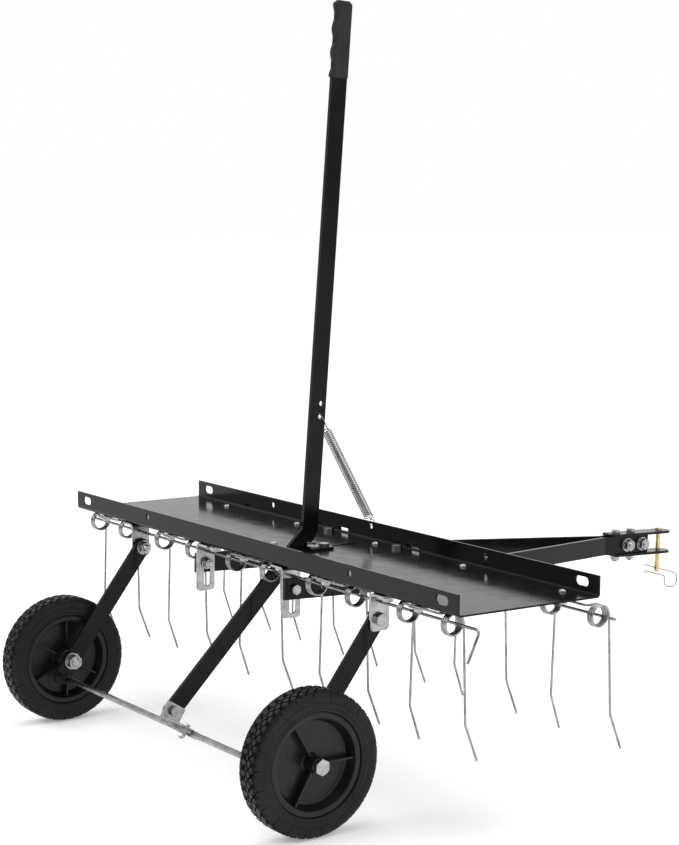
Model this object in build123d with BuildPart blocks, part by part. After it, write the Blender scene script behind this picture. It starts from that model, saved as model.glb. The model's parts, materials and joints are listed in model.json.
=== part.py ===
from build123d import *
from math import atan2, cos, degrees, pi, radians, sin
import os

# Tow-behind lawn dethatcher: weight tray, two rows of sprung tines, lift wheels, pin-hitch drawbar.

os.makedirs("parts", exist_ok=True)

# All sizes are in millimetres. X runs to the right, Y forward and Z up.

# ---- driving dimensions ----
tine_pitch = 101.6          # one leg every 4 inches in each row
pair_pitch = 2 * tine_pitch
pairs_per_row = 5
tray_length = 980
tray_width = 224
tray_height = 28
tray_sheet = 2.5
tray_bend = 5

wheel_radius = 93
wheel_width = 38
wheel_x = 333.8             # centre plane of each wheel
rim_radius = 66

pivot_y = -98               # axis of the lift linkage
pivot_z = -35
arm_slope = degrees(atan2(4, 3))   # wheel arms run back and down on a 3-4-5 triangle
axle_reach = 200.8          # pivot to axle
rod_reach = 227.5           # pivot to cross rod
arm_x = 303                 # inner face of each wheel arm
bar_width = 25
bar_thickness = 6

# ---- places worked out from them ----
arm_y = -cos(radians(arm_slope))
arm_z = -sin(radians(arm_slope))
axle_y = pivot_y + axle_reach * arm_y
axle_z = pivot_z + axle_reach * arm_z
rod_y = pivot_y + rod_reach * arm_y
rod_z = pivot_z + rod_reach * arm_z

tray_x = -23                # tray centre, left of the middle because the rods stick out to the right
tray_y = -203
deck_z = wheel_radius - axle_z   # underside of the deck above the ground

# ---- fasteners ----
across_flats = {6: 10, 8: 13, 10: 16, 12: 19}
head_height = {6: 4, 8: 5.3, 10: 6.4, 12: 7.5}
nut_height = {6: 5, 8: 6.5, 10: 8, 12: 10}
washer_radius = {6: 7, 8: 9, 10: 11, 12: 12.5}
washer_thickness = 2
hole_clearance = 0.2        # radial, for bolts that only clamp
running_clearance = 0.05    # radial, for bolts that something turns on
loose = 0.02                # keeps a nut and its washer two solids
gap = 0.3                   # between faces that move past each other

RIGHT = Vector(1, 0, 0)
LEFT = Vector(-1, 0, 0)
UP = Vector(0, 0, 1)
DOWN = Vector(0, 0, -1)


def at(x, y, z):
    """Point given from the tray centre and the underside of the deck."""
    return Vector(tray_x + x, tray_y + y, deck_z + z)


def side_plane(x):
    """Upright plane at x: local axes run forward and up, extrusion goes right."""
    return Plane(origin=at(x, 0, 0), x_dir=(0, 1, 0), z_dir=(1, 0, 0))


def front_plane(y):
    """Upright plane at y: local axes run right and up, extrusion goes back."""
    return Plane(origin=at(0, y, 0), x_dir=(1, 0, 0), z_dir=(0, -1, 0))


def flat_plane(z):
    """Level plane at z: local axes run right and forward, extrusion goes up."""
    return Plane(origin=at(0, 0, z), x_dir=(1, 0, 0), z_dir=(0, 0, 1))


def save(piece, name):
    """Label a finished piece and write its file."""
    piece.label = name
    export_step(piece, f"parts/{name}.step")


# ---- shapes used over and over ----
def cylinder(start, direction, radius, length, mode=Mode.ADD):
    with BuildSketch(Plane(origin=start, z_dir=direction)) as section:
        Circle(radius)
    extrude(section.sketch, amount=length, mode=mode)


def drill(centre, direction, radius, depth):
    """Round hole of the given total depth, half of it on each side of centre."""
    cylinder(centre - direction * depth / 2, direction, radius, depth, Mode.SUBTRACT)


def washer(seat, direction, size):
    with BuildSketch(Plane(origin=seat, z_dir=direction)) as section:
        Circle(washer_radius[size])
        Circle(size / 2 + running_clearance, mode=Mode.SUBTRACT)
    extrude(section.sketch, amount=washer_thickness)


def nut(seat, direction, size, with_washer=False):
    """Nut that bears on seat and stands out along direction."""
    if with_washer:
        washer(seat, direction, size)
        seat = seat + direction * (washer_thickness + loose)
    with BuildSketch(Plane(origin=seat, z_dir=direction)) as section:
        RegularPolygon(across_flats[size] / 2, 6, major_radius=False)
        Circle(size / 2 + running_clearance, mode=Mode.SUBTRACT)
    extrude(section.sketch, amount=nut_height[size])


def hex_bolt(seat, direction, size, length):
    """Bolt whose head sits on seat and whose shank runs along direction."""
    with BuildSketch(Plane(origin=seat, z_dir=direction)) as head:
        RegularPolygon(across_flats[size] / 2, 6, major_radius=False)
    extrude(head.sketch, amount=-head_height[size])
    cylinder(seat, direction, size / 2, length)


def angle_bracket(plate_x, leg_side, back, front, depth):
    """Folded angle under the deck: an upright plate at plate_x and a leg turned to leg_side."""
    half = bracket_sheet / 2
    with BuildSketch(front_plane(front)) as profile:
        with BuildLine():
            FilletPolyline(
                (plate_x, -depth),
                (plate_x, -half),
                (plate_x + leg_side * bracket_leg, -half),
                radius=bracket_bend,
            )
        trace(line_width=bracket_sheet)
    extrude(profile.sketch, amount=front - back)
    fillet(edges().filter_by(Axis.X).group_by(Axis.Z)[0], radius=6)


# ---- layout under the deck ----
row_y = {"rear": -96, "front": 96}          # coil axis of each row
row_x = {"rear": 7, "front": 53}            # middle of each row
packing = {"rear": 0.02, "front": 3.3}      # the front coils hang below the drawbar brackets
rod_height = {"rear": -13, "front": -17.5}  # retaining rods through the coils
clamp_offset = -5.5                         # clamp bolt behind the coil axis
clamp_shift = -15                           # and left of the middle of its double tine
pair_numbers = range(-(pairs_per_row // 2), pairs_per_row // 2 + 1)
rear_clamps, front_clamps = (
    [(row_x[row] + clamp_shift + number * pair_pitch, row_y[row] + clamp_offset) for number in pair_numbers]
    for row in ("rear", "front")
)
clamp_places = rear_clamps + front_clamps
guide_places = [(-40, -32), (2, -32)]

bracket_sheet = 3
bracket_leg = 29
bracket_bend = 4
bracket_bolt_y = 97.5
wheel_bracket_x = 310.8                     # middle of the upright plate
wheel_bracket_bolt = 18                     # from the plate to its deck bolt
drawbar_x = -5                              # centre line of the drawbar
drawbar_bracket_x = 112.5                   # middle of the upright plate, from the centre line
drawbar_bracket_bolt = 27
latch_bolt_place = (33, 5)

bracket_bolt_places = [
    (side * (wheel_bracket_x + wheel_bracket_bolt), -bracket_bolt_y) for side in (-1, 1)
] + [
    (drawbar_x + side * (drawbar_bracket_x - drawbar_bracket_bolt), y)
    for side in (-1, 1)
    for y in (-bracket_bolt_y, bracket_bolt_y)
]

# ---- lift lever layout ----
lever_x = 15                # left face of the lever
lever_bend_y = -10
lever_bend_z = 28
lever_lean = 4.1            # upper part leans forward
lever_foot_slope = 45.6     # foot runs back and down
lever_upper_length = 733
lever_foot_length = 326
slot_back = -58
slot_front = 74
slot_width = 7.6

# ============================================================ tray
flange_slot_x = 458
flange_slot_z = 16.4
flange_hole_x = 264
flange_hole_z = 17.2
spring_hole_x = -1
spring_hole_z = 21
flange_y = tray_width / 2 - tray_sheet / 2

with BuildPart() as tray:
    with BuildSketch(side_plane(-tray_length / 2)) as fold:
        with Locations((0, tray_height / 2)):
            Rectangle(tray_width, tray_height)
        fillet(fold.vertices().group_by(Axis.Y)[0], radius=tray_bend)
        with Locations((0, tray_height / 2 + tray_sheet)):
            Rectangle(tray_width - 2 * tray_sheet, tray_height, mode=Mode.SUBTRACT)
        inner_corners = fold.vertices().filter_by(lambda v: abs(v.Y - tray_sheet) < 0.01)
        fillet(inner_corners, radius=tray_bend - tray_sheet)
    extrude(amount=tray_length)
    # weight-retaining slots and holes, the same in both flanges
    with BuildSketch(front_plane(tray_width)) as flange_cuts:
        with Locations((-flange_slot_x, flange_slot_z), (flange_slot_x, flange_slot_z)):
            SlotOverall(25, 12)
        with Locations((-flange_hole_x, flange_hole_z), (flange_hole_x, flange_hole_z)):
            Circle(4.5)
    extrude(amount=2 * tray_width, mode=Mode.SUBTRACT)
    # front flange only: spring hole and two small windows at the fold
    with BuildSketch(front_plane(tray_width)) as front_cuts:
        with Locations((spring_hole_x, spring_hole_z)):
            Circle(4.2)
        with Locations((-69, 7), (106, 7)):
            Rectangle(20, 4.5)
    extrude(amount=tray_width, mode=Mode.SUBTRACT)
    # deck
    with BuildSketch(flat_plane(-1)) as deck_cuts:
        with Locations(*clamp_places, *guide_places):
            Circle(3 + hole_clearance)
        with Locations(*[(x - 23, y) for x, y in clamp_places]):
            Circle(2.5)
        with Locations(*bracket_bolt_places, latch_bolt_place):
            Circle(4 + hole_clearance)
        with Locations((lever_x + bar_thickness / 2, (slot_back + slot_front) / 2)):
            SlotOverall(slot_front - slot_back, slot_width, rotation=90)
    extrude(amount=tray_sheet + 2, mode=Mode.SUBTRACT)
save(tray.part, "tray")

# ============================================================ tines
wire_radius = 1.7
coil_radius = 13.2          # to the middle of the wire
coil_pitch = 3.7
coil_turns = 3.25
coil_length = coil_pitch * coil_turns
loop_back = 14              # the loop between the coils lies this far behind their axis
leg_length = 124
kick_length = 49
kick_angle = 20             # the tip points forward


lean = atan2(coil_pitch, 2 * pi * coil_radius)   # a leg leaves its coil along the helix
kick = radians(kick_angle)
coil_x = tine_pitch / 2 - coil_length            # where the coil meets the loop
leg_top = Vector(tine_pitch / 2, coil_radius, -wire_radius - coil_radius)
leg_bottom = leg_top + Vector(sin(lean), 0, -cos(lean)) * leg_length
tip = leg_bottom + Vector(sin(lean), sin(kick), -cos(kick)) * kick_length

# a double tine is one wire: leg, coil, loop, coil and leg, mirrored about the clamp
with BuildPart() as tine:
    with BuildLine() as wire:
        FilletPolyline(
            (0, -loop_back, -wire_radius),
            (coil_x - loop_back * sin(lean), -loop_back, -wire_radius),
            (coil_x, 0, -wire_radius),
            radius=6,
        )
        Helix(
            pitch=coil_pitch,
            height=coil_length,
            radius=coil_radius,
            center=(coil_x, 0, -wire_radius - coil_radius),
            direction=(1, 0, 0),
            lefthand=True,
        )
        FilletPolyline(leg_top, leg_bottom, tip, radius=12)
    with BuildSketch(Plane(origin=(0, -loop_back, -wire_radius), z_dir=(1, 0, 0))):
        Circle(wire_radius)
    sweep(path=wire.wire())
    mirror(about=Plane.YZ)

for row in ("rear", "front"):
    for count, number in enumerate(pair_numbers, start=1):
        place = at(row_x[row] + number * pair_pitch, row_y[row], -packing[row])
        save(tine.part.moved(Location(place)), f"{row}_tine_{count}")

# ============================================================ tine clamps and round-head bolts
clamp_thickness = 1.5
clamp_width = 22
clamp_depth = 17
rear_tail = 10.4            # bolt tails stay above the rear retaining rod
guide_sheet = 3


def clamp_height(row):
    """Top face of the clamp plates of one row."""
    return -packing[row] - 2 * wire_radius - 0.03


def plates_at(places, bottom, thickness):
    """Small rounded plates, each with its bolt hole, at a list of clamp places."""
    with BuildSketch(flat_plane(bottom)) as plates:
        with Locations(*[(x, y - 1) for x, y in places]):
            RectangleRounded(clamp_width, clamp_depth, 3)
        with Locations(*places):
            Circle(3 + hole_clearance, mode=Mode.SUBTRACT)
    extrude(plates.sketch, amount=thickness)


with BuildPart() as tine_clamps:
    plates_at(rear_clamps, clamp_height("rear") - clamp_thickness, clamp_thickness)
    plates_at(front_clamps, clamp_height("front") - clamp_thickness, clamp_thickness)
save(tine_clamps.part, "tine_clamps")

with BuildPart() as front_packing:
    plates_at(front_clamps, -packing["front"], packing["front"])
save(front_packing.part, "front_packing")


def carriage_bolt(x, y, tail):
    """Low round head on the deck, shank down through it to tail below the deck."""
    seat = at(x, y, tray_sheet)
    with BuildSketch(Plane(origin=seat)) as head:
        Circle(5.5)
    extrude(head.sketch, amount=3.5, taper=20)
    cylinder(seat, DOWN, 3, tray_sheet + tail)


with BuildPart() as carriage_bolts:
    for x, y in rear_clamps + guide_places:
        carriage_bolt(x, y, rear_tail)
    for x, y in front_clamps:
        carriage_bolt(x, y, rear_tail + packing["front"])
save(carriage_bolts.part, "carriage_bolts")

with BuildPart() as carriage_nuts:
    for x, y in rear_clamps:
        nut(at(x, y, clamp_height("rear") - clamp_thickness), DOWN, 6)
    for x, y in front_clamps:
        nut(at(x, y, clamp_height("front") - clamp_thickness), DOWN, 6)
    for x, y in guide_places:
        nut(at(x, y, -guide_sheet), DOWN, 6)
save(carriage_nuts.part, "carriage_nuts")

# ============================================================ retaining rods
retainer_radius = 2
rod_ends = {"rear": (-470, 512), "front": (-446, 536)}
hook_drop = 38
hook_reach = 18
for row, hook_side in (("rear", 1), ("front", -1)):
    left_end, right_end = rod_ends[row]
    bend_x, plain_x = (right_end, left_end) if hook_side > 0 else (left_end, right_end)
    with BuildPart() as retainer:
        with BuildLine() as route:
            FilletPolyline(
                at(plain_x, row_y[row], rod_height[row]),
                at(bend_x, row_y[row], rod_height[row]),
                at(bend_x, row_y[row] - hook_side * hook_reach, rod_height[row] - hook_drop),
                radius=7,
            )
        with BuildSketch(Plane(origin=route.line @ 0, z_dir=route.line % 0)):
            Circle(retainer_radius)
        sweep(path=route.wire())
    save(retainer.part, f"{row}_rod")

# ============================================================ brackets under the deck
rod_hole = retainer_radius + 0.3
bracket_drill = 12

for name, side in (("left", -1), ("right", 1)):
    with BuildPart() as wheel_bracket:
        plate_x = side * wheel_bracket_x
        angle_bracket(plate_x, side, pivot_y - 14.5, pivot_y + 14.5, 50)
        drill(at(plate_x, pivot_y, pivot_z), RIGHT, 5 + hole_clearance, bracket_drill)
        drill(at(plate_x, row_y["rear"], rod_height["rear"]), RIGHT, rod_hole, bracket_drill)
        bolt_x = plate_x + side * wheel_bracket_bolt
        drill(at(bolt_x, -bracket_bolt_y, 0), UP, 4 + hole_clearance, bracket_drill)
    save(wheel_bracket.part, f"{name}_wheel_bracket")

hinge_y = 97                # drawbar pivot bolts
bar_z = -36                 # middle of the bars there
hinge_drop = 4.8            # the pivot holes are below the middle, clear of the coils
slot_bolt_y = -97
drawbar_slope = 1.8         # the drawbar runs down towards the hitch
slot_top = -25
slot_bottom = -64

for name, side in (("left", -1), ("right", 1)):
    plate_x = drawbar_x + side * drawbar_bracket_x
    bolt_x = plate_x - side * drawbar_bracket_bolt
    with BuildPart() as rear_bracket:
        angle_bracket(plate_x, -side, -113, -84, 70)
        with BuildSketch(side_plane(plate_x - bracket_drill / 2)):
            with Locations((slot_bolt_y + 0.5, (slot_top + slot_bottom) / 2)):
                SlotOverall(slot_top - slot_bottom, 10.5, rotation=90)
        extrude(amount=bracket_drill, mode=Mode.SUBTRACT)
        drill(at(plate_x, row_y["rear"], rod_height["rear"]), RIGHT, rod_hole, bracket_drill)
        drill(at(bolt_x, -bracket_bolt_y, 0), UP, 4 + hole_clearance, bracket_drill)
    save(rear_bracket.part, f"{name}_rear_drawbar_bracket")

    with BuildPart() as front_bracket:
        angle_bracket(plate_x, -side, 85, 107, 53)
        drill(at(plate_x, hinge_y, bar_z - hinge_drop), RIGHT, 4 + hole_clearance, bracket_drill)
        drill(at(plate_x, row_y["front"], rod_height["front"]), RIGHT, rod_hole, bracket_drill)
        drill(at(bolt_x, bracket_bolt_y, 0), UP, 4 + hole_clearance, bracket_drill)
    save(front_bracket.part, f"{name}_front_drawbar_bracket")

with BuildPart() as bracket_bolts:
    for x, y in bracket_bolt_places:
        hex_bolt(at(x, y, tray_sheet), DOWN, 8, tray_sheet + rear_tail)
save(bracket_bolts.part, "bracket_bolts")

with BuildPart() as bracket_nuts:
    for x, y in bracket_bolt_places:
        nut(at(x, y, -bracket_sheet), DOWN, 8)
save(bracket_nuts.part, "bracket_nuts")

# ============================================================ lever latch and guide
latch_sheet = 3.5
latch_left = 22.5
latch_right = 40
with BuildPart() as latch_plate:
    with BuildSketch(flat_plane(tray_sheet)):
        with Locations(((latch_left + latch_right) / 2, -1)):
            RectangleRounded(latch_right - latch_left, 38, 2)
        with Locations(latch_bolt_place):
            Circle(4 + hole_clearance, mode=Mode.SUBTRACT)
    extrude(amount=latch_sheet)
save(latch_plate.part, "latch_plate")

latch_top = tray_sheet + latch_sheet
with BuildPart() as latch_clip:
    with BuildSketch(front_plane(-3)):
        with BuildLine():
            FilletPolyline((24, latch_top + 7), (24, latch_top + 1), (35, latch_top + 1), radius=2)
        trace(line_width=2)
    extrude(amount=15)
save(latch_clip.part, "latch_clip")

with BuildPart() as latch_bolt:
    latch_x, latch_y = latch_bolt_place
    hex_bolt(at(latch_x, latch_y, latch_top), DOWN, 8, latch_top + 9)
    nut(at(latch_x, latch_y, 0), DOWN, 8)
save(latch_bolt.part, "latch_bolt")

with BuildPart() as guide_strip:
    with BuildSketch(flat_plane(-guide_sheet)):
        with Locations((-19.5, -32)):
            RectangleRounded(65, 24, 3)
        with Locations(*guide_places):
            Circle(3 + hole_clearance, mode=Mode.SUBTRACT)
    extrude(amount=guide_sheet)
save(guide_strip.part, "guide_strip")

# ============================================================ lift linkage
upright = radians(lever_lean)
foot = radians(lever_foot_slope)
lever_top_y = lever_bend_y + lever_upper_length * sin(upright)
lever_top_z = lever_bend_z + lever_upper_length * cos(upright)
foot_end_y = lever_bend_y - lever_foot_length * cos(foot)
foot_end_z = lever_bend_z - lever_foot_length * sin(foot)

# zinc angle that ties the lever foot to the cross rod, laid out from the rod's axis
tie_slope = 58              # it stands a little steeper than the foot
tie_sheet = 3
tie_back = -23
tie_front = 8
tie_height = 27
tie_left = lever_x + bar_thickness
tie_right = 79
tie_bolt_across = -8.4      # bolt through the lever foot
tie_bolt_height = 17.6
rod_radius = 4.3
rod_flat_thickness = 4.5
rod_flat_width = 13
rod_flat_right = 82
rod_flat_length = 64
rod_bolt_x = 55
saddle_length = 44
saddle_width = 20
saddle_sheet = 2.5
tie = radians(tie_slope)
tie_down = Vector(0, -cos(tie), -sin(tie))


def tie_plane(x):
    """Plane at x through the rod's axis: local axes run forward and down the tie, extrusion goes left."""
    return Plane(origin=at(x, rod_y, rod_z), x_dir=(0, sin(tie), -cos(tie)), z_dir=(-1, 0, 0))


def on_tie(x, across, height):
    """Point given from the rod's axis, across the tie and up along it."""
    return at(x, rod_y + across * sin(tie), rod_z - across * cos(tie)) - tie_down * height


with BuildPart() as lift_lever:
    with BuildSketch(side_plane(lever_x)):
        with BuildLine():
            FilletPolyline(
                (foot_end_y, foot_end_z),
                (lever_bend_y, lever_bend_z),
                (lever_top_y, lever_top_z),
                radius=20,
            )
        trace(line_width=bar_width)
        fillet(vertices().sort_by(Axis.Y)[:2], radius=5)
        with Locations((8.2, 206.6), (6.4, 187.9)):
            Circle(4, mode=Mode.SUBTRACT)
    extrude(amount=bar_thickness)
    drill(on_tie(lever_x, tie_bolt_across, tie_bolt_height), RIGHT, 4 + hole_clearance, 4 * bar_thickness)
save(lift_lever.part, "lift_lever")

# rubber grip: a sleeve closed at the top, with four finger swells on its rear edge
grip_width = 25.4
grip_thickness = 9
grip_bottom = lever_upper_length - 103
grip_top = lever_upper_length + 2.5
swell_count = 4
swell_pitch = (grip_top - grip_bottom - 8) / swell_count
grip_x = lever_x + bar_thickness / 2 - grip_thickness / 2


def upper_lever_plane(x):
    """Plane of the upper lever at x: local axes run across and up the lever, extrusion goes right."""
    return Plane(
        origin=at(x, lever_bend_y, lever_bend_z), x_dir=(0, cos(upright), -sin(upright)), z_dir=(1, 0, 0)
    )


with BuildPart() as grip:
    with BuildSketch(upper_lever_plane(grip_x)):
        with Locations((0.8, (grip_bottom + grip_top) / 2)):
            RectangleRounded(grip_width + 1.6, grip_top - grip_bottom, 5)
        for swell in range(swell_count):
            with Locations((-grip_width / 2 + 6, grip_bottom + 4 + swell_pitch * (swell + 0.5))):
                Ellipse(8.5, swell_pitch / 2)
    extrude(amount=grip_thickness)
    with BuildSketch(upper_lever_plane(lever_x - 0.05)):
        with Locations((0, grip_bottom / 2 + lever_upper_length / 2 - 5)):
            Rectangle(bar_width + 0.1, lever_upper_length - grip_bottom + 10.2)
    extrude(amount=bar_thickness + 0.1, mode=Mode.SUBTRACT)
save(grip.part, "grip")

for name, side in (("left", -1), ("right", 1)):
    inner_x = arm_x if side > 0 else -arm_x - bar_thickness
    with BuildPart() as wheel_arm:
        with BuildSketch(side_plane(inner_x)):
            middle = Location(((pivot_y + rod_y) / 2, (pivot_z + rod_z) / 2), arm_slope)
            with Locations(middle):
                SlotCenterToCenter(rod_reach, bar_width)
            with Locations((pivot_y, pivot_z)):
                Circle(5 + running_clearance, mode=Mode.SUBTRACT)
            with Locations((axle_y, axle_z)):
                Circle(6 + hole_clearance, mode=Mode.SUBTRACT)
            with Locations((rod_y, rod_z)):
                Circle(3 + hole_clearance, mode=Mode.SUBTRACT)
        extrude(amount=bar_thickness)
    save(wheel_arm.part, f"{name}_wheel_arm")

rod_end_radius = 3
rod_end_length = bar_thickness + 7
with BuildPart() as cross_rod:
    for direction in (LEFT, RIGHT):
        start = at(rod_bolt_x, rod_y, rod_z)
        shoulder = arm_x - rod_bolt_x * direction.X
        cylinder(start, direction, rod_radius, shoulder)
        cylinder(start + direction * shoulder, direction, rod_end_radius, rod_end_length)
    # flattened where the tie is bolted on
    flat_end = tie_plane(rod_flat_right)
    with BuildSketch(flat_end) as flattened:
        Rectangle(rod_flat_width, rod_flat_thickness)
    extrude(flattened.sketch, amount=rod_flat_length)
    with BuildSketch(flat_end) as pressed_away:
        Rectangle(rod_flat_width, 3 * rod_radius)
        Rectangle(rod_flat_width, rod_flat_thickness, mode=Mode.SUBTRACT)
    extrude(pressed_away.sketch, amount=rod_flat_length, mode=Mode.SUBTRACT)
    drill(at(rod_bolt_x, rod_y, rod_z), tie_down, 3 + hole_clearance, 3 * rod_flat_width)
save(cross_rod.part, "cross_rod")

with BuildPart() as rod_nuts:
    for direction in (LEFT, RIGHT):
        nut(at(direction.X * (arm_x + bar_thickness), rod_y, rod_z), direction, 6)
save(rod_nuts.part, "rod_nuts")

with BuildPart() as rod_bracket:
    seat = rod_flat_thickness / 2
    middle = (tie_back + tie_front) / 2
    with BuildSketch(tie_plane(tie_left + tie_sheet)) as upright_plate:
        with Locations((middle, -(seat + tie_height) / 2)):
            RectangleRounded(tie_front - tie_back, tie_height - seat, 2.5)
        with Locations((tie_bolt_across, -tie_bolt_height)):
            Circle(4 + hole_clearance, mode=Mode.SUBTRACT)
    extrude(upright_plate.sketch, amount=tie_sheet)
    with BuildSketch(tie_plane(tie_right)) as turned_foot:
        with Locations((middle, -seat - tie_sheet / 2)):
            Rectangle(tie_front - tie_back, tie_sheet)
    extrude(turned_foot.sketch, amount=tie_right - tie_left)
    drill(at(rod_bolt_x, rod_y, rod_z), tie_down, 3 + hole_clearance, 4 * tie_sheet)
save(rod_bracket.part, "rod_bracket")

with BuildPart() as rod_saddle:
    with BuildSketch(tie_plane(rod_bolt_x + saddle_length / 2)):
        with Locations((0, rod_flat_thickness / 2 + saddle_sheet / 2)):
            Rectangle(saddle_width, saddle_sheet)
    extrude(amount=saddle_length)
    drill(at(rod_bolt_x, rod_y, rod_z), tie_down, 3 + hole_clearance, 4 * rod_radius)
save(rod_saddle.part, "rod_saddle")

with BuildPart() as rod_bracket_bolt:
    bolt_seat = on_tie(tie_left + tie_sheet, tie_bolt_across, tie_bolt_height)
    hex_bolt(bolt_seat, LEFT, 8, tie_sheet + bar_thickness + 9)
    nut(bolt_seat + LEFT * (tie_sheet + bar_thickness), LEFT, 8)
save(rod_bracket_bolt.part, "rod_bracket_bolt")

with BuildPart() as rod_bolt:
    bolt_seat = on_tie(rod_bolt_x, 0, rod_flat_thickness / 2 + tie_sheet)
    grip_length = tie_sheet + rod_flat_thickness + saddle_sheet
    hex_bolt(bolt_seat, tie_down, 6, grip_length + 7)
    nut(bolt_seat + tie_down * grip_length, tie_down, 6)
save(rod_bolt.part, "rod_bolt")

# ============================================================ pivot bolts of the wheel arms
with BuildPart() as arm_pivot_bolts:
    for direction in (LEFT, RIGHT):
        seat_x = wheel_bracket_x + bracket_sheet / 2
        hex_bolt(at(direction.X * seat_x, pivot_y, pivot_z), direction * -1, 10, 24)
save(arm_pivot_bolts.part, "arm_pivot_bolts")

with BuildPart() as arm_pivot_nuts:
    for direction in (LEFT, RIGHT):
        nut(at(direction.X * (arm_x - gap), pivot_y, pivot_z), direction * -1, 10, with_washer=True)
save(arm_pivot_nuts.part, "arm_pivot_nuts")

# ============================================================ wheels
hub_inner = arm_x + bar_thickness + 0.5     # hub ends, as distances from the middle of the machine
hub_outer = wheel_x + 23
hub_radius = 17
band_thickness = 8
band_width = 34
web_thickness = 4
axle_radius = 6
outer_ribs = 3
outer_rib_width = 4
inner_ribs = 6
inner_rib_width = 3
rib_height = 14             # from the middle of the web
rib_length = rim_radius - hub_radius
rib_middle = (hub_radius + rim_radius) / 2 - 2
bead_radius = rim_radius + 0.1

for name, side in (("left", -1), ("right", 1)):
    outward = RIGHT * side
    centre = at(side * wheel_x, axle_y, axle_z)
    # section through the axle: local axes run out from the axle and along it, outward
    radial_plane = Plane(origin=centre, x_dir=(0, 0, 1), z_dir=(0, side, 0))
    with BuildPart() as rim:
        with BuildSketch(radial_plane):
            with Locations((rim_radius - band_thickness / 2, 0)):
                Rectangle(band_thickness, band_width)
            with Locations((rim_radius / 2, 0)):
                Rectangle(rim_radius - band_thickness / 2, web_thickness)
            with Locations((hub_radius / 2, (hub_inner + hub_outer) / 2 - wheel_x)):
                Rectangle(hub_radius, hub_outer - hub_inner)
        revolve(axis=Axis(centre, (1, 0, 0)))
        with BuildSketch(Plane(origin=centre, x_dir=(0, 1, 0), z_dir=outward)):
            with PolarLocations(rib_middle, outer_ribs, start_angle=90 - 90 * side):
                Rectangle(rib_length, outer_rib_width)
        extrude(amount=rib_height)
        with BuildSketch(Plane(origin=centre, x_dir=(0, 1, 0), z_dir=outward * -1)):
            with PolarLocations(rib_middle, inner_ribs, start_angle=30):
                Rectangle(rib_length, inner_rib_width)
        extrude(amount=rib_height)
        drill(centre, RIGHT, axle_radius + running_clearance, 100)
    save(rim.part, f"{name}_rim")

    with BuildPart() as tyre:
        with BuildSketch(radial_plane):
            with Locations(((bead_radius + wheel_radius) / 2, 0)):
                Rectangle(wheel_radius - bead_radius, wheel_width)
            fillet(vertices().group_by(Axis.X)[-1], radius=9)
            fillet(vertices().group_by(Axis.X)[0], radius=3)
        revolve(axis=Axis(centre, (1, 0, 0)))
    save(tyre.part, f"{name}_tyre")

washer_room = 0.3
with BuildPart() as axle_bolts:
    for direction in (LEFT, RIGHT):
        seat_x = hub_outer + washer_room
        hex_bolt(at(direction.X * seat_x, axle_y, axle_z), direction * -1, 12, seat_x - arm_x + 14)
save(axle_bolts.part, "axle_bolts")

with BuildPart() as axle_nuts:
    for direction in (LEFT, RIGHT):
        nut(at(direction.X * arm_x, axle_y, axle_z), direction * -1, 12, with_washer=True)
save(axle_nuts.part, "axle_nuts")

# ============================================================ drawbar
flat_height = 28            # the two bars stand on edge
flat_thickness = 5.5
bar_offset = 117            # bar centres from the centre line at the tray
hitch_offset = 7.75         # and at the hitch
bar_rear = -210             # distances along the drawbar from its pivot bolts
bar_bend = 28
bar_meet = 460
bar_end = 551
slot_bolt_back = (hinge_y - slot_bolt_y) / cos(radians(drawbar_slope))
clamp_bolt_places = (491, 522)
cross_bolt_places = (506.5, 537.5)
pin_along = 583
plate_thickness = 4
plate_width = 30
top_plate_rear = 475
bottom_plate_rear = 482
plate_front = 602
pin_radius = 4

slope = radians(drawbar_slope)
drawbar_up = Vector(0, sin(slope), cos(slope))
drawbar_forward = Vector(0, cos(slope), -sin(slope))


def on_drawbar(x, along, height):
    """Point given from the drawbar's centre line, its pivot bolts and the middle of its bars."""
    return at(drawbar_x + x, hinge_y, bar_z) + drawbar_forward * along + drawbar_up * height


def drawbar_plane(height):
    """Plane along the drawbar: local axes run right and forward, extrusion goes up."""
    return Plane(origin=on_drawbar(0, 0, height), x_dir=(1, 0, 0), z_dir=drawbar_up)


def drawbar_side_plane(x):
    """Upright plane along the drawbar: local axes run forward and up, extrusion goes right."""
    return Plane(origin=on_drawbar(x, 0, 0), x_dir=drawbar_forward, z_dir=(1, 0, 0))


for name, side in (("left", -1), ("right", 1)):
    with BuildPart() as bar:
        with BuildSketch(drawbar_plane(-flat_height / 2)):
            with BuildLine():
                FilletPolyline(
                    (side * bar_offset, bar_rear),
                    (side * bar_offset, bar_bend),
                    (side * hitch_offset, bar_meet),
                    (side * hitch_offset, bar_end),
                    radius=30,
                )
            trace(line_width=flat_thickness)
        extrude(amount=flat_height)
        pivot = at(drawbar_x + side * bar_offset, hinge_y, bar_z - hinge_drop)
        drill(pivot, RIGHT, 4 + running_clearance, 30)
        drill(on_drawbar(side * bar_offset, -slot_bolt_back, 0), RIGHT, 4 + hole_clearance, 30)
        for along in cross_bolt_places:
            drill(on_drawbar(side * hitch_offset, along, 0), RIGHT, 5 + hole_clearance, 12)
    save(bar.part, f"{name}_drawbar")

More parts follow.
